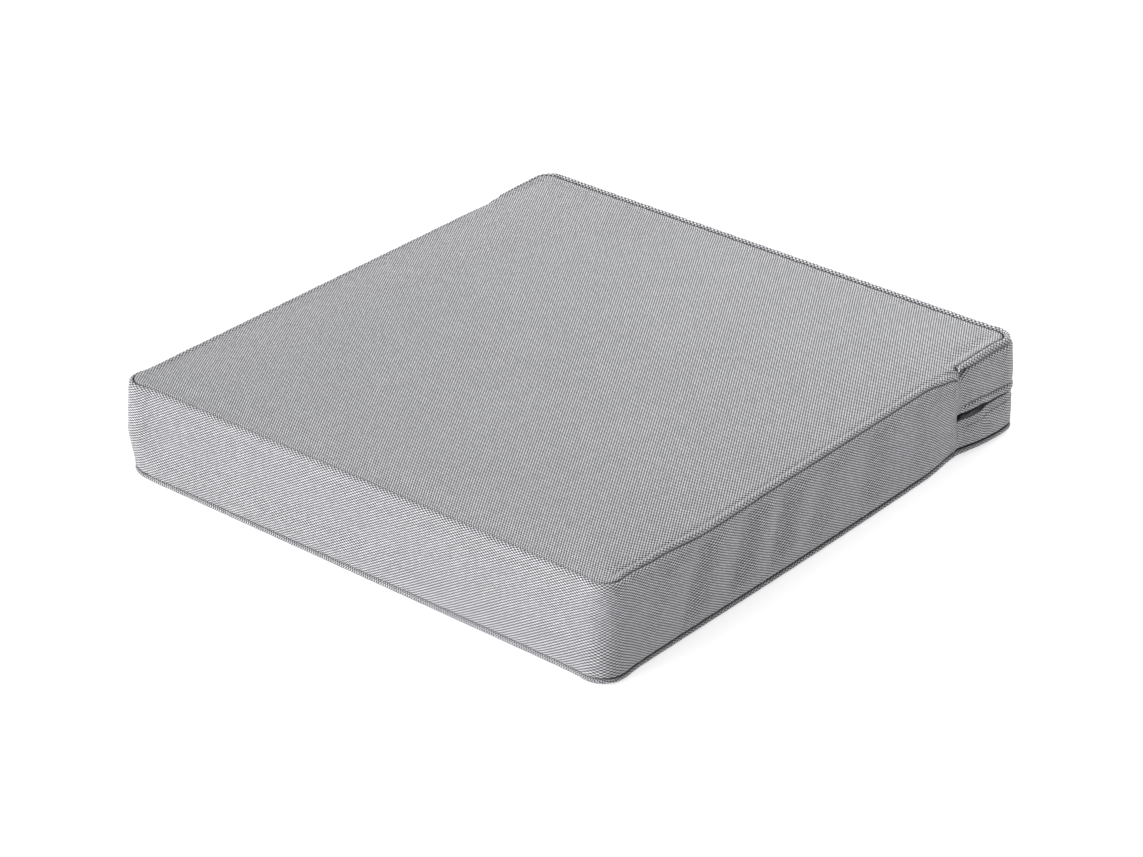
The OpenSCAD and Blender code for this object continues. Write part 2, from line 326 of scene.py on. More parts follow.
def tuck_share(s, z):
    """1 in the middle of the small three-cornered pleat under the strip's rolled edge, behind the join."""
    total = 0 * s
    down = np.clip((TUCK_TOP - z) / TUCK_DROP, 0, 1)
    width = (8.5 - 7.0 * down) * MM
    for join, way in ((JOIN_R, 1), (JOIN_L, -1)):
        behind = (np.mod(s, LOOP) - join) * way
        near = hump(behind - (6.5 - 3.5 * down) * MM, width) * smooth(behind / MM + 1)
        total = total + near * smooth(down * 7) * (1 - down ** 2)
    return total


def sampled(grid, rows, columns, r, c):
    """Bilinear value of grid at row place r and column place c."""
    i = np.clip(np.searchsorted(rows, r) - 1, 0, len(rows) - 2)
    j = np.clip(np.searchsorted(columns, c) - 1, 0, len(columns) - 2)
    a = np.clip((r - rows[i]) / (rows[i + 1] - rows[i]), 0, 1)
    b = np.clip((c - columns[j]) / (columns[j + 1] - columns[j]), 0, 1)
    upper = grid[i, j] * (1 - b) + grid[i, j + 1] * b
    lower = grid[i + 1, j] * (1 - b) + grid[i + 1, j + 1] * b
    return upper * (1 - a) + lower * a


def surface(s, q, rear=None, depth=0.0, extra=0.0):
    """Point on the cover at s round the plan and q down the section, sunk by depth."""
    s, q = np.broadcast_arrays(np.asarray(s, float), np.asarray(q, float))
    rear = rear_share(s) if rear is None else rear + 0 * s
    u, z, out, up = section(s, q, rear)
    cx, cy, nx, ny = outline(s)
    relief = SWELL["side"](s, z) * out + folds(s, z) * out
    between_edges = smooth((EDGE_H - z + 3 * MM) / (9 * MM)) * smooth(z / (12 * MM))
    relief = relief + stand_out(s, z, rear) * out * between_edges
    relief = relief - TUCK_D * tuck_share(s, z) * rear
    over, under = top_seam(s, rear), low_seam(s, rear)
    top_side = np.where(q < over, 0.4 + 1.1 * rolled_share(s), 0.4 + 1.3 * rear) * (1 - 0.7 * along_front(s))
    groove = 0.7 + 0.6 * rear
    relief = relief + top_side * roll(q, over, np.where(q < over, -1, 1), groove) + puckers(s, q, over)
    low_side = np.where(q > under, 1.1, 0.2)
    relief = relief + out * (low_side * roll(q, under, np.where(q > under, 1, -1)) + puckers(s, q, under))
    relief = relief + extra - depth
    crown = SWELL["top"](cx + nx * u, cy + ny * u) * np.clip(up, 0, 1) * smooth((over - q) / (30 * MM))
    u = u + outset(s, q, z)
    x = cx + nx * (u + relief * out)
    y = cy + ny * (u + relief * out)
    return np.stack([x, y, z + relief * up + crown], -1)


# ---- meshes
def put(name, data):
    obj = bpy.data.objects.new(name, data)
    bpy.context.scene.collection.objects.link(obj)
    return obj


def link(name, verts, faces, uv=None, material=None, seam=None):
    """Makes an object from vertices and four-cornered faces; a triangle repeats its last corner."""
    mesh = bpy.data.meshes.new(name)
    cells = [tuple(f) if f[3] != f[2] else tuple(f[:3]) for f in np.asarray(faces).tolist()]
    mesh.from_pydata(np.asarray(verts).tolist(), [], cells)
    mesh.polygons.foreach_set("use_smooth", np.ones(len(cells), bool))
    if uv is not None:
        layer = mesh.uv_layers.new(name="WeaveUV")
        index = np.zeros(len(mesh.loops), np.int32)
        mesh.loops.foreach_get("vertex_index", index)
        layer.data.foreach_set("uv", np.asarray(uv, np.float32)[index].ravel())
    # Painted shade in the seams and hollows, kept on the points for the cloth's material
    if seam is not None:
        depth = mesh.attributes.new("painted_seam_shade", "FLOAT", "POINT")
        depth.data.foreach_set("value", np.float32(seam).ravel())
    mesh.update()
    if material:
        mesh.materials.append(material)
    return put(name, mesh)


def vertex_normals(verts, faces):
    a, b, c, d = (verts[faces[:, k]] for k in range(4))
    face = np.cross(c - a, d - b)
    total = np.zeros_like(verts)
    for k in range(4):
        np.add.at(total, faces[:, k], face)
    return total / np.maximum(np.linalg.norm(total, axis=1, keepdims=True), 1e-12)


def flipped(faces):
    """The same faces seen from behind; a triangle still repeats its last corner."""
    triangle = faces[:, 3] == faces[:, 2]
    back = faces[:, ::-1].copy()
    back[triangle] = faces[triangle][:, [2, 1, 0, 0]]
    return back


def shell(verts, faces, thickness):
    """Closes a sheet into a thin solid: the given skin outside, one set inwards, and a rim between them."""
    count = len(verts)
    inner = verts - vertex_normals(verts, faces) * thickness
    pairs = np.concatenate([faces[:, [0, 1]], faces[:, [1, 2]], faces[:, [2, 3]], faces[:, [3, 0]]])
    pairs = pairs[pairs[:, 0] != pairs[:, 1]]
    forward = pairs[:, 0] * count + pairs[:, 1]
    backward = pairs[:, 1] * count + pairs[:, 0]
    rim = pairs[~np.isin(forward, backward)]
    bands = np.stack([rim[:, 1], rim[:, 0], rim[:, 0] + count, rim[:, 1] + count], -1)
    return np.concatenate([verts, inner]), np.concatenate([faces, flipped(faces) + count, bands])


def grid_faces(rows, columns):
    """Faces of a grid whose rows run down and columns run on."""
    index = np.arange(rows * columns).reshape(rows, columns)
    return np.stack([index[:-1, :-1], index[1:, :-1], index[1:, 1:], index[:-1, 1:]], -1).reshape(-1, 4)


class Plan:
    """A rectangular grid with rings of columns round it that follow the rounded outline."""

    def __init__(self, step, corner_steps, near_join=0):
        self.x = np.linspace(-AX, AX, round(2 * AX / step) + 1)
        self.y = np.linspace(-AY, AY, round(2 * AY / step) + 1)
        if near_join:
            fine = JOIN_Y + np.linspace(-9 * MM, 9 * MM, near_join)
            self.y = np.concatenate([self.y[np.abs(self.y - JOIN_Y) > 11 * MM], fine])
            self.y.sort()
        nx, ny = len(self.x), len(self.y)
        turn = np.arange(1, corner_steps) / corner_steps
        grid = np.arange(nx * ny).reshape(nx, ny)
        sides = [AY + self.y, AX - self.x[::-1], AY - self.y[::-1], AX + self.x]
        edges = [grid[-1], grid[::-1, -1], grid[0, ::-1], grid[:, 0]]
        s, border = [], []
        for k, (side, edge) in enumerate(zip(sides, edges)):
            s += [STARTS[2 * k] + side, STARTS[2 * k + 1] + ARC * turn]
            border += [edge, np.full(corner_steps - 1, edge[-1])]
        self.s, self.border = np.concatenate(s), np.concatenate(border)
        self.cells = grid_faces(nx, ny)
        self.count = nx * ny
        self.points = np.stack(np.meshgrid(self.x, self.y, indexing="ij"), -1).reshape(-1, 2)

    def faces(self, rings):
        """Faces of the rings, whose vertices follow the grid's, joined to the grid's border."""
        columns = len(self.s)
        index = self.count + np.arange(rings * columns).reshape(rings, columns)
        index = np.concatenate([self.border[None], index])
        right = np.roll(index, -1, axis=1)
        cells = np.stack([index[:-1], index[1:], right[1:], right[:-1]], -1).reshape(-1, 4)
        pinched = cells[:, 0] == cells[:, 3]
        cells[pinched] = cells[pinched][:, [1, 2, 0, 0]]
        return cells


# ---- how the fill swells the cover
SWELL_STEP, PRESSURE, FRAMES = 12 * MM, 4.0, 20  # grid, pressure and length of the simulation
LEVEL_TOP = 2.6  # how early the crown levels off inwards from the edge
BULGE_CAP = 3 * MM  # the band bulges no further than this


def closed_form(step):
    """A coarse closed form of the filled cover, with the rows where its seams run."""
    plan = Plan(step, 4)
    r = edge_radius(plan.s, 0)
    arc, side = r * math.pi / 2, EDGE_H - r - LOW_R
    rows = [-(PLAN_R - r) * 0.5, 0 * r, arc * 0.5, arc] + [arc + side * k / 7 for k in range(1, 8)]
    q = np.array(rows + [section_end(r), section_end(r) + 9 * MM])
    u, z = section(plan.s, q, 0 * q)[:2]
    cx, cy, nx, ny = outline(plan.s)
    rings = np.stack([cx + nx * u, cy + ny * u, z], -1)
    top, bottom = (np.insert(plan.points, 2, z, axis=1) for z in (EDGE_H, 0))
    verts = np.concatenate([top, rings.reshape(-1, 3), bottom])
    low = plan.count + rings.shape[0] * rings.shape[1]
    last = low - len(plan.s) + np.arange(len(plan.s))
    closing = np.stack([last, low + plan.border, low + np.roll(plan.border, -1), np.roll(last, -1)], -1)
    pinched = closing[:, 1] == closing[:, 2]
    closing[pinched] = closing[pinched][:, [3, 0, 1, 1]]
    faces = np.concatenate([plan.cells, plan.faces(len(rings)), closing, plan.cells[:, ::-1] + low])
    return plan, q, verts, faces


def inflate():
    """Runs a cloth simulation of the filled cover, sewn fast along its seams, and returns its swelling."""
    plan, q, verts, faces = closed_form(SWELL_STEP)
    form = link("swell_form", verts, faces)
    columns = len(plan.s)
    seam_row, low_row = 2, len(q) - 2
    first = plan.count + seam_row * columns
    fixed = list(range(first, first + columns)) + list(range(plan.count + low_row * columns, len(verts)))
    form.vertex_groups.new(name="sewn").add(fixed, 1.0, "REPLACE")
    cloth = form.modifiers.new("cloth", "CLOTH")
    settings = dict(
        quality=5, mass=0.3, tension_stiffness=15, compression_stiffness=15, bending_stiffness=0.5,
        use_pressure=True, uniform_pressure_force=PRESSURE, vertex_group_mass="sewn"
    )
    for key, value in settings.items():
        setattr(cloth.settings, key, value)
    cloth.settings.effector_weights.gravity = 0
    cloth.point_cache.frame_start, cloth.point_cache.frame_end = 1, FRAMES
    for f in range(1, FRAMES + 1):
        bpy.context.scene.frame_set(f)
    shaped = form.evaluated_get(bpy.context.evaluated_depsgraph_get())
    moved = np.array([v.co for v in shaped.data.vertices], np.float32) - verts
    bpy.context.scene.frame_set(1)
    mesh = form.data
    bpy.data.objects.remove(form)
    bpy.data.meshes.remove(mesh)
    return plan, q, moved


def swell():
    """The cover's crown and bulge: the simulated swelling, capped at what the foam allows."""
    plan, q, moved = inflate()
    nx, ny = len(plan.x), len(plan.y)
    lift = moved[:plan.count, 2].reshape(nx, ny)
    lift = CROWN * np.tanh(LEVEL_TOP * lift / lift.max()) / math.tanh(LEVEL_TOP)
    wide_x = np.concatenate([[-HALF_X], plan.x, [HALF_X]])
    wide_y = np.concatenate([[-HALF_Y], plan.y, [HALF_Y]])
    lift = np.pad(lift, 1)
    rings = moved[plan.count:plan.count + len(q) * len(plan.s)].reshape(len(q), len(plan.s), 3)
    out_x, out_y = outline(plan.s)[2:]
    bulge = rings[..., 0] * out_x + rings[..., 1] * out_y
    keep = slice(3, len(q) - 1)
    heights = section(plan.s, q, 0 * q)[1][keep].mean(1)[::-1]
    bulge = BULGE_CAP * np.tanh(bulge[keep][::-1] / BULGE_CAP)
    bulge = np.concatenate([0 * bulge[:1], bulge, 0 * bulge[:1]])
    heights = np.concatenate([[0], heights, [EDGE_H]])
    around = np.concatenate([plan.s, [LOOP]])
    bulge = np.concatenate([bulge, bulge[:, :1]], 1)
    return {
        "top": lambda x, y: sampled(lift, wide_x, wide_y, x, y),
        "side": lambda s, z: sampled(bulge, heights, around, z, np.mod(s, LOOP)),
    }


SWELL = swell()


# ---- materials
class Shader:
    """A short way to write node trees: each call makes one node and returns its output."""

    def __init__(self, name):
        self.material = bpy.data.materials.new(name)
        self.material.use_nodes = True
        self.tree = self.material.node_tree
        self.skin = self.tree.nodes["Principled BSDF"]

    def put(self, socket, value):
        if isinstance(value, bpy.types.NodeSocket):
            self.tree.links.new(value, socket)
        else:
            socket.default_value = value

    def node(self, kind, output, inputs=(), **settings):
        made = self.tree.nodes.new(kind)
        for key, value in settings.items():
            setattr(made, key, value)
        for key, value in inputs:
            self.put(made.inputs[key], value)
        return made.outputs[output]

    def math(self, operation, *values, clamp=False):
        inputs = list(enumerate(values))
        return self.node("ShaderNodeMath", 0, inputs, operation=operation, use_clamp=clamp)

    def mix(self, share, a, b):
        inputs = [("Factor", share), (6, a), (7, b)]
        return self.node("ShaderNodeMix", 2, inputs, data_type="RGBA", clamp_factor=True)

    def number(self, share, a, b):
        return self.node("ShaderNodeMix", 0, [("Factor", share), (2, a), (3, b)], data_type="FLOAT")

    def noise(self, vector, scale, detail=3.0, rough=0.5):
        inputs = [("Vector", vector), ("Scale", scale), ("Detail", detail), ("Roughness", rough)]
        return self.node("ShaderNodeTexNoise", 0, inputs)

    def bump(self, height, distance, strength=1.0, normal=None):
        inputs = [("Height", height), ("Distance", distance), ("Strength", strength)]
        if normal is not None:
            inputs.append(("Normal", normal))
        return self.node("ShaderNodeBump", 0, inputs)

    def place(self):
        return self.node("ShaderNodeTexCoord", "Object")

    def set(self, **values):
        for key, value in values.items():
            self.put(self.skin.inputs[key.replace("_", " ")], value)
        return self.material


def grey(value, warmth=0.0, blue=0.0):
    return (value + warmth, value, value + blue, 1.0)


def floats(shader, place):
    """Checks of the weave along one direction, and the rounding of its floats and of its single yarns."""
    wave = shader.math("SINE", shader.math("MULTIPLY", place, 2 * math.pi))
    arch = shader.math("POWER", shader.math("ABSOLUTE", wave), 0.6)
    yarn = shader.math("ABSOLUTE", shader.math("SINE", shader.math("MULTIPLY", place, 4 * math.pi)))
    return wave, arch, shader.math("POWER", yarn, 0.5)


def basket(shader, place, pitch_u, pitch_v):
    """Height, share of the light yarns and place in repeats of a basket weave with two yarns to a float."""
    split = shader.node("ShaderNodeSeparateXYZ", 0, [(0, place)]).node
    u = shader.math("DIVIDE", split.outputs[0], pitch_u)
    v = shader.math("DIVIDE", split.outputs[1], pitch_v)
    wave_u, arch_u, yarn_u = floats(shader, u)
    wave_v, arch_v, yarn_v = floats(shader, v)
    over = shader.math("MULTIPLY_ADD", shader.math("MULTIPLY", wave_u, wave_v), 2.2, 0.5, clamp=True)
    warp, weft = shader.math("MULTIPLY", arch_v, yarn_u), shader.math("MULTIPLY", arch_u, yarn_v)
    return shader.number(over, weft, warp), over, u, v


def yarn_tone(shader, u, v):
    """A tone for each yarn float, from 0 to 1."""
    cell_u = shader.math("FLOOR", shader.math("MULTIPLY", u, 2))
    cell_v = shader.math("FLOOR", shader.math("MULTIPLY", v, 2))
    cell = shader.node("ShaderNodeCombineXYZ", 0, [(0, cell_u), (1, cell_v)])
    return shader.node("ShaderNodeTexWhiteNoise", 0, [("Vector", cell)], noise_dimensions="2D")


def weave_material(name, light, dark, gap, pitch_u, pitch_v, relief):
    """Woven cloth: light and dark yarns over one another, with soft mottling and painted shade down in the
    seams.
    """
    shader = Shader(name)
    uv = shader.node("ShaderNodeUVMap", 0, uv_map="WeaveUV")
    height, over, u, v = basket(shader, uv, pitch_u, pitch_v)
    tone = yarn_tone(shader, u, v)
    yarn = shader.mix(over, dark, light)
    mottle = shader.noise(shader.place(), 14.0, 4.0)
    fibre = shader.noise(shader.place(), 2600.0, 2.0)
    shade = shader.math("MULTIPLY_ADD", tone, 0.3, 0.85)
    shade = shader.math("MULTIPLY", shade, shader.math("MULTIPLY_ADD", mottle, 0.1, 0.95))
    shade = shader.math("MULTIPLY", shade, shader.math("MULTIPLY_ADD", fibre, 0.2, 0.9))
    worn = shader.node("ShaderNodeVectorMath", 0, [(0, yarn), ("Scale", shade)], operation="SCALE")
    woven = shader.mix(shader.math("POWER", height, 0.42), gap, worn)
    # Painted shade: the cloth is darkened towards the weave's gap colour in the seams, behind the rolled
    # edges, in the pleat and along the stitch row
    painted_shade_fac = shader.node("ShaderNodeAttribute", "Fac", attribute_name="painted_seam_shade")
    colour = shader.mix(painted_shade_fac, woven, gap)
    normal = shader.bump(height, relief)
    return shader.set(
        Base_Color=colour, Roughness=0.86, Sheen_Weight=0.12, Sheen_Roughness=0.45, Normal=normal
    )


def thread_material(name, colour):
    """Twisted thread: fine slanting plies with a slight sheen."""
    shader = Shader(name)
    place = shader.place()
    ply = shader.node(
        "ShaderNodeTexWave", 1, [("Vector", place), ("Scale", 900.0), ("Distortion", 1.5)],
        wave_type="BANDS", bands_direction="DIAGONAL"
    )
    dark = tuple(0.45 * c for c in colour[:3]) + (1.0,)
    twisted = shader.mix(ply, dark, colour)
    normal = shader.bump(ply, 0.05 * MM)
    return shader.set(Base_Color=twisted, Roughness=0.6, Sheen_Weight=0.2, Normal=normal)


def foam_material():
    """Cut open-cell foam: fine pores and broad yellowing."""
    shader = Shader("foam_cells")
    place = shader.place()
    cells = shader.node("ShaderNodeTexVoronoi", 0, [("Vector", place), ("Scale", 900.0)])
    old = shader.noise(place, 9.0)
    tone = shader.mix(old, (0.74, 0.66, 0.42, 1), (0.82, 0.77, 0.55, 1))
    colour = shader.mix(cells, (0.45, 0.38, 0.22, 1), tone)
    return shader.set(Base_Color=colour, Roughness=0.95, Normal=shader.bump(cells, 0.4 * MM))


def wadding_material():
    """White fibre sheet: tangled strands over soft lumps."""
    shader = Shader("fibre_wadding")
    place = shader.place()
    strands = shader.noise(place, 420.0, 6.0, 0.75)
    lumps = shader.noise(place, 45.0)
    colour = shader.mix(strands, (0.62, 0.62, 0.62, 1), (0.9, 0.9, 0.89, 1))
    normal = shader.bump(lumps, 2 * MM, 0.5, shader.bump(strands, 0.6 * MM))
    return shader.set(Base_Color=colour, Roughness=0.95, Sheen_Weight=0.4, Normal=normal)


def tape_material():
    """Grey zip tape: a fine herringbone that runs along the tape."""
    shader = Shader("zip_tape_weave")
    split = shader.node("ShaderNodeSeparateXYZ", 0, [(0, shader.place())])
    along = shader.math("ADD", split.node.outputs[0], split.node.outputs[1])
    across = shader.math("PINGPONG", split.node.outputs[2], 1.2 * MM)
    twill = shader.math("SINE", shader.math("MULTIPLY", shader.math("ADD", along, across), 7000.0))
    height = shader.math("MULTIPLY_ADD", twill, 0.5, 0.5)
    colour = shader.mix(height, grey(0.5), grey(0.8, 0, 0.02))
    normal = shader.bump(height, 0.08 * MM)
    return shader.set(Base_Color=colour, Roughness=0.8, Sheen_Weight=0.1, Normal=normal)


def plastic_material(name, colour, rough, specular=0.5):
    """Moulded plastic: slight grain, uneven gloss and scuffs."""
    shader = Shader(name)
    place = shader.place()
    grain = shader.noise(place, 1500.0, 4.0)
    scuff = shader.noise(place, 160.0, 5.0, 0.7)
    scuffed = shader.math("MULTIPLY_ADD", scuff, 6.0, -3.4, clamp=True)
    pale = tuple(2.6 * c for c in colour[:3]) + (1.0,)
    gloss = shader.math("MULTIPLY_ADD", scuff, 0.3, rough)
    return shader.set(
        Base_Color=shader.mix(scuffed, colour, pale), Roughness=gloss, Specular_IOR_Level=specular,
        Normal=shader.bump(grain, 0.03 * MM)
    )


LIGHT_YARN = grey(0.74, 0.0, 0.03)
DARK_YARN = grey(0.05, 0.0, 0.004)
WEAVE_GAP = grey(0.022, 0.0, 0.002)
CLOTH = weave_material("cover_weave", LIGHT_YARN, DARK_YARN, WEAVE_GAP, WEAVE_U, WEAVE_V, 0.3 * MM)
THREAD = thread_material("sewing_thread", grey(0.06, 0, 0.004))
BINDING = thread_material("overlock_thread", grey(0.42, 0, 0.01))
FOAM = foam_material()
WADDING = wadding_material()
TAPE = tape_material()
COIL = plastic_material("zip_nylon", (0.38, 0.38, 0.385, 1), 0.35)
SATIN = plastic_material("zip_satin_plastic", (0.01, 0.01, 0.011, 1), 0.34, 0.2)


# ---- pieces
def finish_piece(obj, replaced):
    """Every made piece rides the cushion's body; replaced is the node that it stands for."""
    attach(obj, "root")
    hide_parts(replaced)


TURN_STEPS = np.radians([25, 50, 75, 90])
# Painted shade: the most it darkens the cloth, and its strength where the cloth turns into a seam
PAINTED_SHADE_MOST, TURN_SHADE_PAINT = 0.95, 0.85
DASH = 7.4 * MM  # the seam's stitches draw it in at this pitch


def painted_shade_both_faces(painted_shade):
    """The painted shade of a sheet's skin, for both of its faces."""
    return np.concatenate([np.clip(painted_shade, 0, PAINTED_SHADE_MOST).ravel()] * 2)


def turn_painted_shade(depths):
    """How much painted shade darkens the cloth where it turns down into a seam."""
    return TURN_SHADE_PAINT * smooth(depths / (1.5 * MM))


def seam_shade(s):
    """Share of the seam's shade: little at the front, and in short dashes along the rolled edges."""
    dashes = rolled_share(s) * (0.65 + 0.3 * np.sin(2 * math.pi * s / DASH))
    return (1 - 0.9 * along_front(s)) * (1 - dashes)


def turned_edge(edge, inwards, turn=TURN_R, gap=SEAM_GAP):
    """Places and depths of rows that turn an edge into its seam; inwards is +1 if q grows to the seam."""
    places = [edge - inwards * (gap + turn * (1 - np.sin(a))) for a in TURN_STEPS]
    depths = [turn * (1 - math.cos(a)) for a in TURN_STEPS]
    stop = edge - inwards * gap
    for share in (0.35, 0.7, 1.0):
        places.append(stop)
        depths.append(turn + share * (ALLOWANCE - turn))
    return places, depths


def spread_rows(start, end, shares):
    return [start + (end - start) * f for f in shares]


def sheet_piece(name, verts, faces, uv, painted_shade, replaced):
    """A sheet of the cover as a thin solid, with its weave and its painted seam shade."""
    verts, faces = shell(verts, faces, CLOTH_T)
    obj = link(name, verts, faces, np.concatenate([uv, uv]), CLOTH, painted_shade_both_faces(painted_shade))
    finish_piece(obj, replaced)


def panel(plan, height, faces, rows, depths, reach, painted_shade, names):
    """A panel: the plan's grid at height, rows round it; names are its own, its rest's (not used) and its
    node's.
    """
    rings = surface(plan.s, rows, None, depths)
    rings[..., 2] = np.maximum(rings[..., 2], 0)
    verts = np.concatenate([np.column_stack([plan.points, height]), rings.reshape(-1, 3)])
    cx, cy, nx, ny = outline(plan.s)
    uv = np.stack([cx + nx * reach, cy + ny * reach], -1).reshape(-1, 2)
    uv = np.concatenate([plan.points, uv])[:, ::-1]
    painted_shade = np.concatenate([0 * height, painted_shade.ravel()])
    name, under, replaced = names
    sheet_piece(name, verts, faces, uv, painted_shade, replaced)


def turned_rows(start, stop, shares, turned):
    """Rows spread from start to stop, followed by those of a turned edge, with their depths."""
    rows = spread_rows(start, stop, shares)
    places, sunk = turned
    return np.array(rows + places), np.array([0.0] * len(rows) + sunk)[:, None]


def top_cover():
    """The top panel: crowned over the fill, rolled over the edge and turned into its seam."""
    plan = Plan(4 * MM, 10, 13)
    s, rear = plan.s, rear_share(plan.s)
    inner = PLAN_R - edge_radius(s, rear)
    seam, gap = top_seam(s, rear), top_gap(s)
    shares = 1 - (1 - np.linspace(0, 1, 18)[1:]) ** 1.35
    rows, depths = turned_rows(-inner, seam - gap - TURN_R, shares, turned_edge(seam, 1, TURN_R, gap))
    faces = np.concatenate([plan.cells, plan.faces(len(rows))])
    reach = rows + inner + depths + outset(s, rows, EDGE_H)
    # Painted shade: darker down in the seam and in the groove behind the rolled edge
    groove = 0.35 * hump(seam - rows - ROLL_W, 2.2 * MM) * rolled_share(s)
    painted_shade = seam_shade(s) * (turn_painted_shade(depths) + groove)
    height = EDGE_H + SWELL["top"](*plan.points.T)
    names = ("cover_top", "fibre_sheet_top", "top_panel")
    panel(plan, height, faces, rows, depths, reach, painted_shade, names)


def bottom_cover():
    """The bottom panel: flat where it rests, turned up round the edge into its seam."""
    plan = Plan(6 * MM, 10, 9)
    s, rear = plan.s, rear_share(plan.s)
    inner = section_end(edge_radius(s, rear)) + PLAN_R - LOW_R
    seam = low_seam(s, rear)
    shares = np.linspace(0, 1, 14)[1:] ** 0.8
    rows, depths = turned_rows(inner, seam + SEAM_GAP + TURN_R, shares, turned_edge(seam, -1))
    faces = flipped(np.concatenate([plan.cells, plan.faces(len(rows))]))
    reach = inner - rows + depths + outset(s, rows, 0.0)
    # Painted shade: darker down in the seam and along the bottom roll beside it, little along the front
    painted_shade = (1 - 0.85 * along_front(s)) * (turn_painted_shade(depths) + 0.22 * hump(rows - seam - 5 * MM, 6 * MM))
    height = 0 * plan.points[:, 0]
    names = ("cover_bottom", "fibre_sheet_bottom", "bottom_panel")
    panel(plan, height, faces, rows, depths, reach, painted_shade, names)


def strip_columns(start, end, step):
    """Columns of a strip from start to end, with its two ends turned in, as places and depths."""
    first, first_depth = turned_edge(start, -1, JOIN_TURN_R, JOIN_GAP)
    last, last_depth = turned_edge(end, 1, JOIN_TURN_R, JOIN_GAP)
    inset = JOIN_GAP + JOIN_TURN_R
    body = np.linspace(start + inset, end - inset, round((end - start) / step))
    s = np.concatenate([first[::-1], body, last])
    depth = np.concatenate([first_depth[::-1], 0 * body, last_depth])
    return s, depth


DENSE = np.concatenate(  # rows down the front band, closer beside its seams
    [np.linspace(0, 0.22, 17), np.linspace(0.22, 0.85, 19)[1:], np.linspace(0.85, 1, 10)[1:]]
)


def band_painted_shade(s, q, depths, rear):
    """Painted shade on a strip: in its seams, behind its rolled edge, in the pleat and along the stitch row.
    """
    seams = turn_painted_shade(depths) * seam_shade(s)
    if not rear:
        return seams
    z = section(s, q, rear + 0 * s)[1]
    groove = 0.55 * hump(q - top_seam(s, rear) - ROLL_W, 1.5 * MM) * smooth((s - JOIN_R) / (4 * MM))
    row = 0.4 * hump(z - stitch_height(s), 1.0 * MM) * smooth((s - JOIN_R - 5 * MM) / (6 * MM))
    return seams + groove + 0.6 * tuck_share(s, z) + row


def band(name, start, end, step, rear, upper, lower, replaced):
    """A strip of the band; upper and lower give its edges as places and depths of rows, from the body on."""
    s, end_depth = strip_columns(start, end, step)
    head, head_depth = upper(s, rear)
    foot, foot_depth = lower(s, rear)
    shares = np.linspace(0, 1, 48) if rear else DENSE
    rows = head[::-1] + spread_rows(head[0], foot[0], shares)[1:-1] + foot
    depths = head_depth[::-1] + [0.0] * (len(shares) - 2) + foot_depth
    rows, depths = np.array(rows), np.array(depths)[:, None] + 0 * s
    extra = zip_bulge(s, rows, rear) if rear else 0.0
    verts = surface(s, rows, float(rear), np.maximum(depths, end_depth), extra)
    down, inwards = (np.diff(part, axis=0, prepend=part[:1]) for part in (rows, depths))
    run = np.cumsum(np.hypot(down, inwards), 0)
    uv = np.stack([s + 0 * rows, run], -1).reshape(-1, 2)
    painted_shade = band_painted_shade(s, rows, depths, rear)
    sheet_piece(name, verts.reshape(-1, 3), grid_faces(*rows.shape), uv, painted_shade, replaced)


FOLD_TURN_R, FOLD_ROW = 1.05 * MM, 3.2 * MM  # a folded edge's turn and the spacing of the rows behind it
FOLD_STEPS = np.radians([0, 35, 70, 110, 145, 180])

# Heights of the flap's lip and the lower strip's fold against the frame's, by distance from the join, in mm
LIP = [(0, 0.7), (5, 1.0), (14, 1.6), (34, 1.3), (46, -1.4), (90, -3.2)]
FOLD = [(0, -0.5), (34, -0.6), (46, 2.0), (1000, 2.4)]


def lip_height(s):
    """The flap hangs over the zip and lifts where it passes over the slider."""
    return FLAP_LIP_Z + MM * eased(np.abs(s - JOIN_R) / MM, LIP)


def fold_height(s):
    """The lower strip's folded edge dips under the slider and rises behind the flap elsewhere."""
    return LOWER_FOLD_Z + MM * eased(np.abs(s - JOIN_R) / MM, FOLD)


# How far the flap swells over the slider, dips at its stitch row and swells beside it, and how far the lower
# strip lies behind it and swells in its own middle
OVER_SLIDER, ROW_DIP, PLUMP, LOWER_IN, BELLY = 0.7 * MM, 1.7 * MM, 0.8 * MM, 1.6 * MM, 0.9 * MM


def zip_bulge(s, q, rear):
    """Relief of the zipped strips: the flap swells over the slider and dips at its stitch row."""
    z = section(s, q, rear + 0 * s)[1]
    over_slider = hump(s - JOIN_R - 14 * MM, 12 * MM) * hump(z - ZIP_Z - 8 * MM, 6 * MM)
    row = stitch_height(s)
    above = smooth((z - ZIP_Z + 1.5 * MM) / (2 * MM))
    plump = hump(z - row + 4 * MM, 3 * MM) * above + 0.9 * hump(z - row - 14 * MM, 10 * MM)
    belly = hump(z - ZIP_Z + 20 * MM, 13 * MM) * (1 - above)
    total = OVER_SLIDER * over_slider - ROW_DIP * hump(z - row, 1.5 * MM) + PLUMP * plump
    total = total - LOWER_IN * (1 - above) + BELLY * belly
    return total * smooth(from_join(s) / (9 * MM))


def stitch_height(s):
    """Height of the stitch row that holds the flap."""
    return lip_height(s) + 7.6 * MM


def lower_stitch_height(s):
    return fold_height(s) - 8 * MM


def top_edge(s, rear):
    return turned_edge(top_seam(s, rear), -1, TURN_R, top_gap(s))


def low_edge(s, rear):
    return turned_edge(low_seam(s, rear), 1)


def folded_edge(z, way):
    """Rows of an edge folded back behind itself at height z(s); way is +1 for an edge that points down."""
    def rows(s, rear):
        edge = q_at(s, z(s), rear)
        turn = [FOLD_TURN_R * (1 - math.sin(a)) for a in FOLD_STEPS]
        flap = [FOLD_TURN_R + FOLD_ROW * k for k in range(1, 5)]
        depths = [FOLD_TURN_R * (1 - math.cos(a)) for a in FOLD_STEPS] + [2 * FOLD_TURN_R] * len(flap)
        return [edge - way * back for back in turn + flap], depths
    return rows


def part_with_slider(name):
    """Gives the named piece its own copy of its mesh."""
    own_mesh(bpy.data.objects[name])


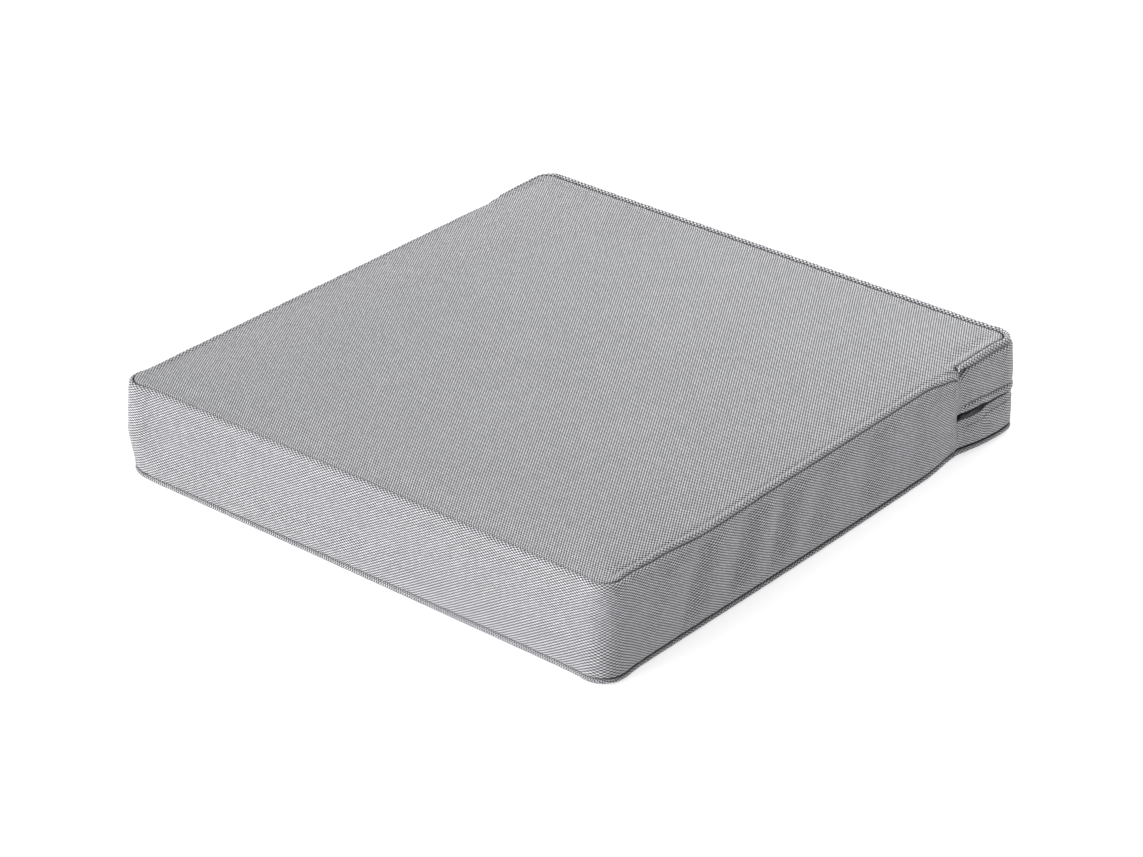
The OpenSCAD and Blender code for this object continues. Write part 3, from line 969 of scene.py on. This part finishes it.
def bands():
    lip, fold = folded_edge(lip_height, 1), folded_edge(fold_height, -1)
    band("cover_front_band", JOIN_L, LOOP + JOIN_R, 3 * MM, 0, top_edge, low_edge, "front_boxing")
    band("cover_zip_upper", JOIN_R, JOIN_L, 2.5 * MM, 1, top_edge, lip, "zip_boxing_upper")
    band("cover_zip_lower", JOIN_R, JOIN_L, 2.5 * MM, 1, fold, low_edge, "zip_boxing_lower")
    part_with_slider("cover_zip_upper")
    part_with_slider("cover_zip_lower")


# ---- threads
def tube(line, radius, sides=6, closed=False):
    """Vertices and faces of a round tube along a line of points, with closed ends."""
    line = np.asarray(line)
    ahead = np.roll(line, -1, 0) - np.roll(line, 1, 0)
    if not closed:
        ahead[0], ahead[-1] = line[1] - line[0], line[-1] - line[-2]
    ahead /= np.linalg.norm(ahead, axis=1, keepdims=True)
    side = np.cross(ahead, [0.13, 0.21, 0.97])
    side /= np.linalg.norm(side, axis=1, keepdims=True)
    other = np.cross(ahead, side)
    angle = 2 * math.pi * np.arange(sides) / sides
    spoke = side[:, None] * np.cos(angle)[:, None] + other[:, None] * np.sin(angle)[:, None]
    verts = (line[:, None] + radius * spoke).reshape(-1, 3)
    count = len(line)
    index = np.arange(count * sides).reshape(count, sides)
    if closed:
        index = np.concatenate([index, index[:1]])
    right = np.roll(index, -1, 1)
    faces = np.stack([index[:-1], right[:-1], right[1:], index[1:]], -1).reshape(-1, 4)
    if closed:
        return verts, faces
    verts = np.concatenate([verts, line[:1], line[-1:]])
    first, last = index[0], index[-1]
    tip = 0 * first + count * sides
    start = np.stack([np.roll(first, -1), first, tip, tip], -1)
    end = np.stack([last, np.roll(last, -1), tip + 1, tip + 1], -1)
    return verts, np.concatenate([faces, start, end])


def joined(parts):
    starts = np.cumsum([0] + [len(verts) for verts, faces in parts])
    faces = [faces + start for start, (verts, faces) in zip(starts, parts)]
    return np.concatenate([verts for verts, faces in parts]), np.concatenate(faces)


def stitch_row(name, height, replaced):
    """A row of lockstitches along the zipped strips: each dives into the cloth at both ends."""
    parts = []
    pitch, radius = 3.6 * MM, 0.3 * MM
    for s in np.arange(JOIN_R + 7 * MM, JOIN_L - 6 * MM, pitch):
        along = s + np.linspace(0, 0.84 * pitch, 6)
        arch = 0.35 * MM - 0.9 * MM * (np.abs(np.linspace(-1, 1, 6)) ** 3)
        q = q_at(along, height(along), 1)
        line = surface(along, q, 1.0, -arch, zip_bulge(along, q, 1))
        parts.append(tube(line, radius, 6))
    obj = link(name, *joined(parts), None, THREAD)
    finish_piece(obj, replaced)


def seam_stitches(name, seam, gap, replaced):
    """Both rows of a seam's stitches, either side of its two layers, just inside the cover."""
    parts = []
    pitch, radius = 3.2 * MM, 0.25 * MM
    for way in (-1, 1):
        for s in np.arange(0, LOOP - pitch / 2, pitch):
            along = s + np.linspace(0, 0.9 * pitch, 5)
            lift = (0.3 * MM - 0.5 * MM * np.abs(np.linspace(-1, 1, 5)) ** 3)
            rear = rear_share(along)
            q = seam(along, rear) + way * (gap(along) + CLOTH_T + lift)
            parts.append(tube(surface(along, q, None, TURN_R + 1.6 * MM), radius, 5))
    obj = link(name, *joined(parts), None, THREAD)
    finish_piece(obj, replaced)


def overlock(name, seam, gap, replaced):
    """The thread that binds the raw edges of a seam's two layers: one continuous zigzag loop."""
    pitch = 3.0 * MM
    turns = round(LOOP / pitch)
    phase = np.linspace(0, 2 * math.pi * turns, turns * 10, endpoint=False)
    s = LOOP * phase / phase[-1]
    rear = rear_share(s)
    wide = gap(s) + CLOTH_T + 0.35 * MM
    q = seam(s, rear) + wide * np.clip(1.6 * np.cos(phase), -1, 1)
    depth = ALLOWANCE - 1.7 * MM + 2.2 * MM * np.sin(phase)
    obj = link(name, *tube(surface(s, q, None, depth), 0.22 * MM, 5, closed=True), None, BINDING)
    finish_piece(obj, replaced)


# ---- zip
def coil(name, node, way):
    """A nylon coil: one helix of flattened turns, wound where the frame has its envelope."""
    low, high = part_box(node)
    radius = (high.z - low.z) / 2
    out = high.y - radius - AY
    start, end = JOIN_R + 3 * MM, JOIN_L - 3 * MM
    pitch = 1.35 * MM
    turns = int((end - start) / pitch)
    t = np.linspace(0, 2 * math.pi * turns, turns * 9)
    s = start + (end - start) * t / t[-1]
    cx, cy, nx, ny = outline(s)
    wire = 0.3 * MM
    reach = radius - wire
    u = out + reach * 0.9 * np.cos(t)
    z = (low.z + high.z) / 2 + way * reach * np.sin(t)
    line = np.stack([cx + nx * u, cy + ny * u, z], -1)
    obj = link(name, *tube(line, wire, 5), None, COIL)
    finish_piece(obj, node)


# ---- fill
def fill_block(name, low, high, corner, material, dome, lumps, step):
    """A soft closed block between two heights, rounded at its edges, with a crown and slight lumps."""
    nx, ny = round((high.x - low.x) / step), round((high.y - low.y) / step)
    nz = 6
    gx, gy = np.linspace(-1, 1, nx + 1), np.linspace(-1, 1, ny + 1)
    half, middle = (high - low) / 2, np.array(high + low) / 2
    index = np.arange((nx + 1) * (ny + 1)).reshape(nx + 1, ny + 1)
    border = np.concatenate([index[:-1, 0], index[-1, :-1], index[:0:-1, -1], index[0, :0:-1]])
    flat = np.stack(np.meshgrid(gx, gy, indexing="ij"), -1).reshape(-1, 2)
    cells = grid_faces(nx + 1, ny + 1)
    top_count, rim_count = len(flat), len(border)
    layers = [flat] + [flat[border]] * (nz - 1) + [flat]
    unit = [np.insert(layer, 2, 1 - 2 * k / nz, axis=1) for k, layer in enumerate(layers)]
    p = np.concatenate(unit) * half
    inner = np.clip(p, corner - np.array(half), np.array(half) - corner)
    size = np.linalg.norm(p - inner, axis=1, keepdims=True)
    p = middle + inner + (p - inner) / np.maximum(size, 1e-9) * np.minimum(size, corner)
    share = np.clip((p[:, 2] - low.z) / (high.z - low.z), 0, 1)
    edge = smooth(np.minimum(half.x - np.abs(p[:, 0]), half.y - np.abs(p[:, 1])) / (30 * MM))
    wave = np.sin(p[:, 0] / 0.023 + np.sin(p[:, 1] / 0.05)) * np.sin(p[:, 1] / 0.031 + 1)
    p[:, 2] += share * edge * (dome * SWELL["top"](p[:, 0], p[:, 1]) / CROWN + lumps * (wave - 1))
    first = border
    faces = [cells]
    for k in range(1, nz + 1):
        begin = top_count + (k - 1) * rim_count
        second = begin + (np.arange(rim_count) if k < nz else border)
        faces.append(np.stack([first, second, np.roll(second, -1), np.roll(first, -1)], -1))
        first = second
    faces.append(cells[:, ::-1] + top_count + (nz - 1) * rim_count)
    return link(name, p, np.concatenate(faces), None, material)


def soft_piece(name, node, slot, firmness, top, **shape):
    """A soft block in its node's box, up to the height top."""
    low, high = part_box(node)
    high.z = top or high.z
    obj = fill_block(name, low, high, **shape)
    finish_piece(obj, node)


def fill():
    foam = dict(corner=3 * MM, material=FOAM, dome=0.0, lumps=0.1 * MM, step=12 * MM)
    fibre = dict(corner=2.5 * MM, material=WADDING, lumps=0.3 * MM, step=8 * MM)
    under_cloth = EDGE_H - CLOTH_T - 0.4 * MM
    soft_piece("foam_block", "foam_core", "foam", 1.0, None, **foam)
    soft_piece("fibre_sheet_top", "fibre_top", "wadding", 0.7, under_cloth, dome=CROWN - 0.3 * MM, **fibre)
    soft_piece("fibre_sheet_bottom", "fibre_bottom", "wadding", 0.5, None, dome=0.0, **fibre)


def dress(node, material):
    NODES[node].data.materials.clear()
    NODES[node].data.materials.append(material)


# ---- build
fill()
top_cover()
bottom_cover()
bands()
stitch_row("flap_stitches", stitch_height, "flap_stitching")
stitch_row("lower_zip_stitches", lower_stitch_height, "lower_zip_stitching")
part_with_slider("flap_stitches")
part_with_slider("lower_zip_stitches")
seam_stitches("top_seam_stitches", top_seam, top_gap, "top_seam_thread")
seam_stitches("bottom_seam_stitches", low_seam, low_gap, "bottom_seam_thread")
overlock("top_overlock_loops", top_seam, top_gap, "top_overlock_thread")
overlock("bottom_overlock_loops", low_seam, low_gap, "bottom_overlock_thread")
coil("zip_teeth_upper", "zip_coil_upper", 1)
coil("zip_teeth_lower", "zip_coil_lower", -1)
dress("join_seam_thread", THREAD)
for tape in ("zip_tape_upper", "zip_tape_lower"):
    dress(tape, TAPE)
for part in ("zip_slider", "zip_pull"):
    dress(part, SATIN)


# ---- stage, light and camera
def floor():
    half = 9.0
    corners = [(-half, -half, 0), (half, -half, 0), (half, half, 0), (-half, half, 0)]
    obj = link("floor", np.array(corners) + [0, 0, -0.2 * MM], [[0, 1, 2, 3]])
    shader = Shader("pale_floor")
    cloud = shader.noise(shader.place(), 1.2)
    pale = shader.mix(cloud, (0.43, 0.43, 0.435, 1), (0.45, 0.45, 0.45, 1))
    shader.set(Base_Color=pale, Roughness=0.9, Emission_Color=pale, Emission_Strength=1.5)
    obj.data.materials.append(shader.material)


def lamp(name, kind, place, **settings):
    """A lamp that faces the cushion from place."""
    light = bpy.data.lights.new(name, kind)
    for key, value in settings.items():
        setattr(light, key, value)
    obj = put(name, light)
    obj.location = place
    obj.rotation_mode = "QUATERNION"
    obj.rotation_quaternion = Vector(place).to_track_quat("Z", "Y")


def world(strength):
    made = bpy.data.worlds.new("studio")
    made.use_nodes = True
    background = made.node_tree.nodes["Background"]
    background.inputs["Color"].default_value = (1, 1, 1, 1)
    background.inputs["Strength"].default_value = strength
    bpy.context.scene.world = made


def camera(azimuth, elevation, roll_deg, distance, lens, shift_right, shift_up):
    """A camera that looks at the cushion's middle, moved over by the two shifts; azimuth 0 looks along +Y."""
    az, el, tilt = (math.radians(v) for v in (azimuth, elevation, roll_deg))
    back = Vector((math.sin(az) * math.cos(el), -math.cos(az) * math.cos(el), math.sin(el)))
    right = Vector((math.cos(az), math.sin(az), 0))
    up = back.cross(right)
    target = Vector((0, 0, EDGE_H / 2)) + right * shift_right + up * shift_up
    x_axis = right * math.cos(tilt) + up * math.sin(tilt)
    y_axis = up * math.cos(tilt) - right * math.sin(tilt)
    data = bpy.data.cameras.new("camera")
    data.sensor_width, data.lens = 36.0, lens
    obj = put("camera", data)
    place = target + back * distance
    turn = Matrix((x_axis, y_axis, back)).transposed()
    obj.matrix_world = Matrix.Translation(place) @ turn.to_4x4()
    bpy.context.scene.camera = obj


floor()
world(0.37)
lamp("key", "SUN", (-0.46, -0.78, 0.43), energy=4.0, angle=math.radians(48))
lamp("rear_softbox", "AREA", (0.35, 1.5, 1.4), energy=31, size=1.2)
camera(
    azimuth=40.56, elevation=28.81, roll_deg=-0.45, distance=3.392, lens=109.9, shift_right=-5.2 * MM,
    shift_up=-25.9 * MM
)
bpy.context.scene.view_settings.view_transform = "Standard"
